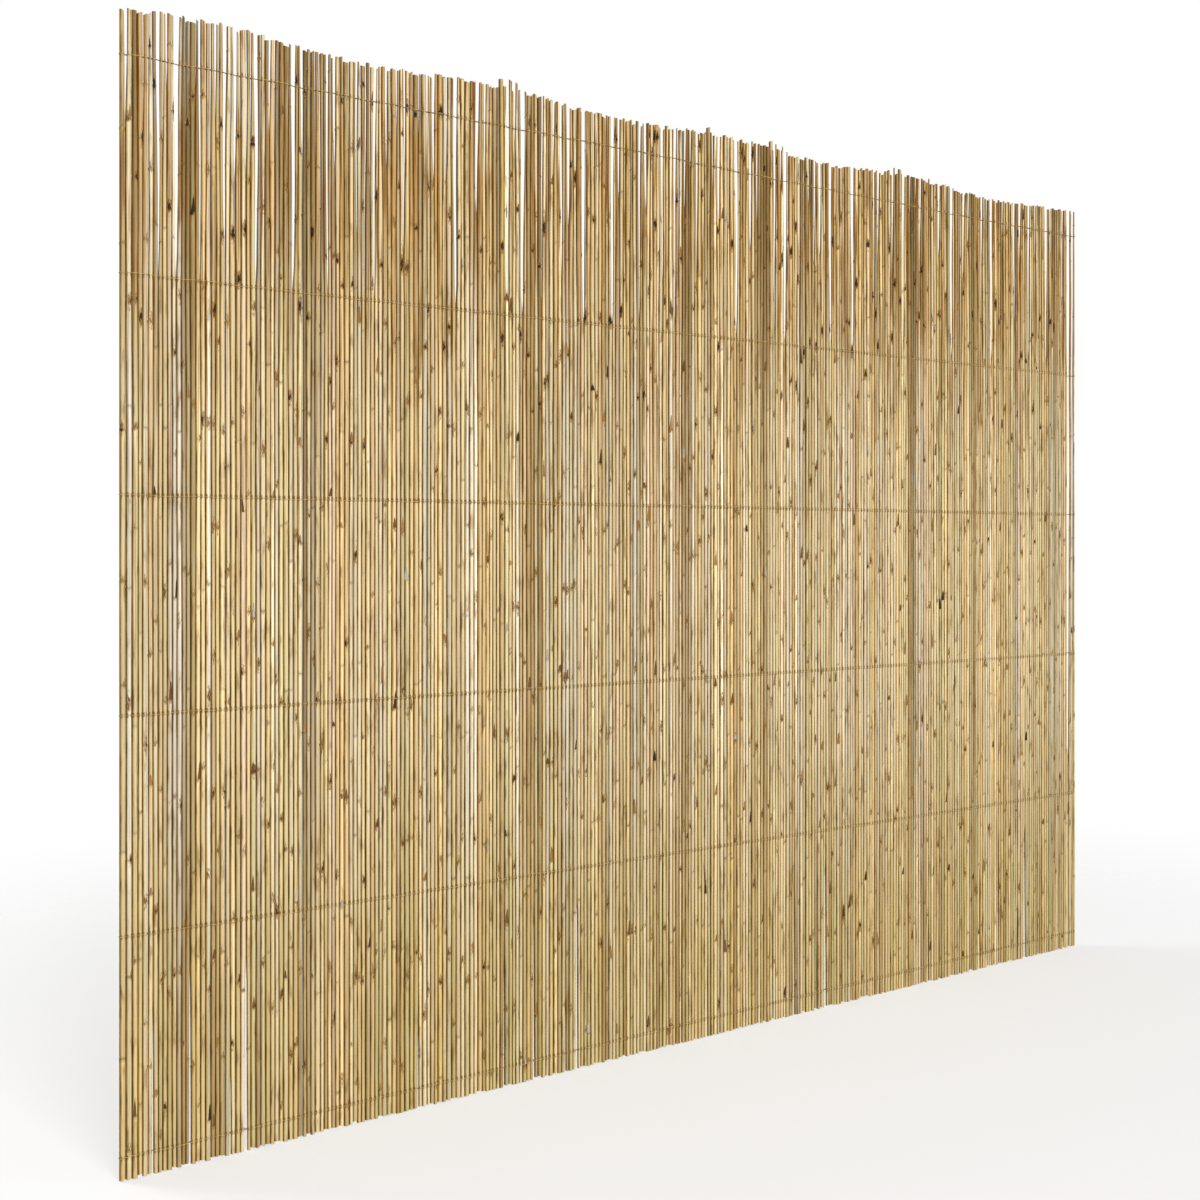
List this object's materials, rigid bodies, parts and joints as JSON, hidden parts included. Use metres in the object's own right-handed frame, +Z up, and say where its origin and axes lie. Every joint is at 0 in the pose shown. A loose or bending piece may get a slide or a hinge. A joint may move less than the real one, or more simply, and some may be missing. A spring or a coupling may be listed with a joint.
{
  "type": "reed screen",
  "caption": "Flat unrolled screen of upright dry reed stems held side by side by rows of thin binding wire, with uneven cut ends and slits between the stems.",
  "frame": {"origin": "middle of the foot edge: centred in width and thickness, at the level of the lowest stem ends", "axes": "+X along the width to the right seen from the front, +Y from the front to the back, +Z up along the stems"},
  "size_m": [2.002, 0.0104, 1.5223],
  "materials": {
    "reed": "dry natural reed, straw to olive and brown, with darker nodes and sheath scraps",
    "binding_wire": "thin galvanised wire, dulled and browned outdoors"
  },
  "bodies": {
    "root": {"reed_mat": "reed", "row_1_front_wire": "binding_wire", "row_1_back_wire": "binding_wire", "row_2_front_wire": "binding_wire", "row_2_back_wire": "binding_wire", "row_3_front_wire": "binding_wire", "row_3_back_wire": "binding_wire", "row_4_front_wire": "binding_wire", "row_4_back_wire": "binding_wire", "row_5_front_wire": "binding_wire", "row_5_back_wire": "binding_wire", "row_6_front_wire": "binding_wire", "row_6_back_wire": "binding_wire"}
  },
  "joints": []
}
